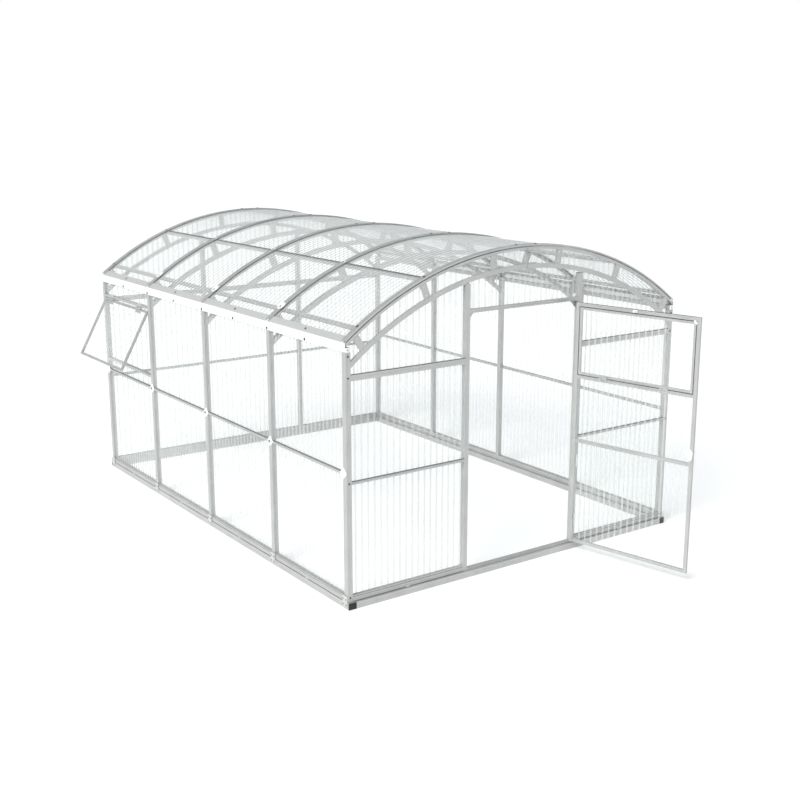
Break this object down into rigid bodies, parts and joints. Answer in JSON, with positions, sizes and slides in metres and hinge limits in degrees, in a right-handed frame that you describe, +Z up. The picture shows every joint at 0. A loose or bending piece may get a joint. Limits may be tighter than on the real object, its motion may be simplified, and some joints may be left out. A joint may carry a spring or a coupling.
{
  "type": "walk-in greenhouse",
  "caption": "Walk-in greenhouse with an arched double-chord aluminium frame, clear ribbed sheets, a hinged door with a tilting window, and a top-hung side vent.",
  "frame": {"origin": "on the ground under the middle of the doorway, in the plane of the front wall", "axes": "+Z up; +Y from the door end to the rear wall; +X to the right of someone facing the door from outside"},
  "size_m": [3.2121, 4.9438, 2.2778],
  "materials": {
    "aluminium": "satin extruded",
    "white_trim": "satin white coated",
    "white_plastic": "moulded white",
    "door_fittings": "light coated",
    "black_plastic": "moulded black",
    "dark_screws": "dark coated steel",
    "clear_sheet": "clear twin-wall sheet"
  },
  "bodies": {
    "frame": {"base_rail_left": "aluminium", "base_rail_right": "aluminium", "base_rail_front": "aluminium", "base_rail_rear": "aluminium", "base_end_caps": "black_plastic", "side_sills": "aluminium", "gable_sills": "aluminium", "threshold": "aluminium", "corner_posts": "aluminium", "side_posts_left": "aluminium", "side_posts_right": "aluminium", "door_post_left": "aluminium", "door_post_right": "aluminium", "rear_posts": "aluminium", "eave_beams": "aluminium", "eave_trim_left": "white_trim", "eave_trim_right": "white_trim", "arch_1_outer": "aluminium", "arch_2_outer": "aluminium", "arch_3_outer": "aluminium", "arch_4_outer": "aluminium", "arch_5_outer": "aluminium", "arch_1_inner": "aluminium", "arch_2_inner": "aluminium", "arch_3_inner": "aluminium", "arch_4_inner": "aluminium", "arch_5_inner": "aluminium", "arch_struts": "aluminium", "ridge_splices": "aluminium", "purlin_ridge": "aluminium", "purlins_upper": "aluminium", "purlins_lower": "aluminium", "purlin_brackets": "white_plastic", "roof_caps": "aluminium", "roof_sheet_1": "clear_sheet", "roof_sheet_2": "clear_sheet", "roof_sheet_3": "clear_sheet", "roof_sheet_4": "clear_sheet", "side_mid_rails": "aluminium", "gable_rails": "aluminium", "door_header": "aluminium", "header_gussets": "aluminium", "vent_surround": "aluminium", "side_sheets": "clear_sheet", "gable_sheets": "clear_sheet", "rosettes": "white_plastic", "foot_brackets": "white_plastic", "sheet_clips": "white_plastic", "frame_screws": "dark_screws", "fixed_hinges": "aluminium"},
    "door": {"door_stiles": "aluminium", "door_rails": "aluminium", "door_sheets": "clear_sheet", "door_fittings": "door_fittings"},
    "door_latch": {"door_latch": "white_plastic"},
    "door_window": {"window_frame": "aluminium", "window_sheet": "clear_sheet"},
    "window_button": {"window_button": "white_plastic"},
    "side_vent": {"vent_frame": "aluminium", "vent_sheet": "clear_sheet"}
  },
  "joints": [
    {"name": "door_swing", "type": "hinge", "parent": "frame", "child": "door", "pos_m": [0.485, -0.009, 1], "axis": [0, 0, 1], "range_deg": [-102, 48]},
    {"name": "latch_turn", "type": "hinge", "parent": "door", "child": "door_latch", "pos_m": [0.67496, -0.94598, 0.925], "axis": [-0.9781, -0.2079, 0], "range_deg": [0, 90]},
    {"name": "window_tilt", "type": "hinge", "parent": "door", "child": "door_window", "pos_m": [0.5516, -0.49068, 1.327], "axis": [0.2079, -0.9781, 0], "range_deg": [0, 35]},
    {"name": "button_turn", "type": "hinge", "parent": "door", "child": "window_button", "pos_m": [0.55747, -0.48943, 1.83], "axis": [-0.9781, -0.2079, 0], "range_deg": [0, 90]},
    {"name": "vent_swing", "type": "hinge", "parent": "frame", "child": "side_vent", "pos_m": [-1.48, 3.4505, 1.566], "axis": [0, 1, 0], "range_deg": [-28.6, 21.4]}
  ]
}
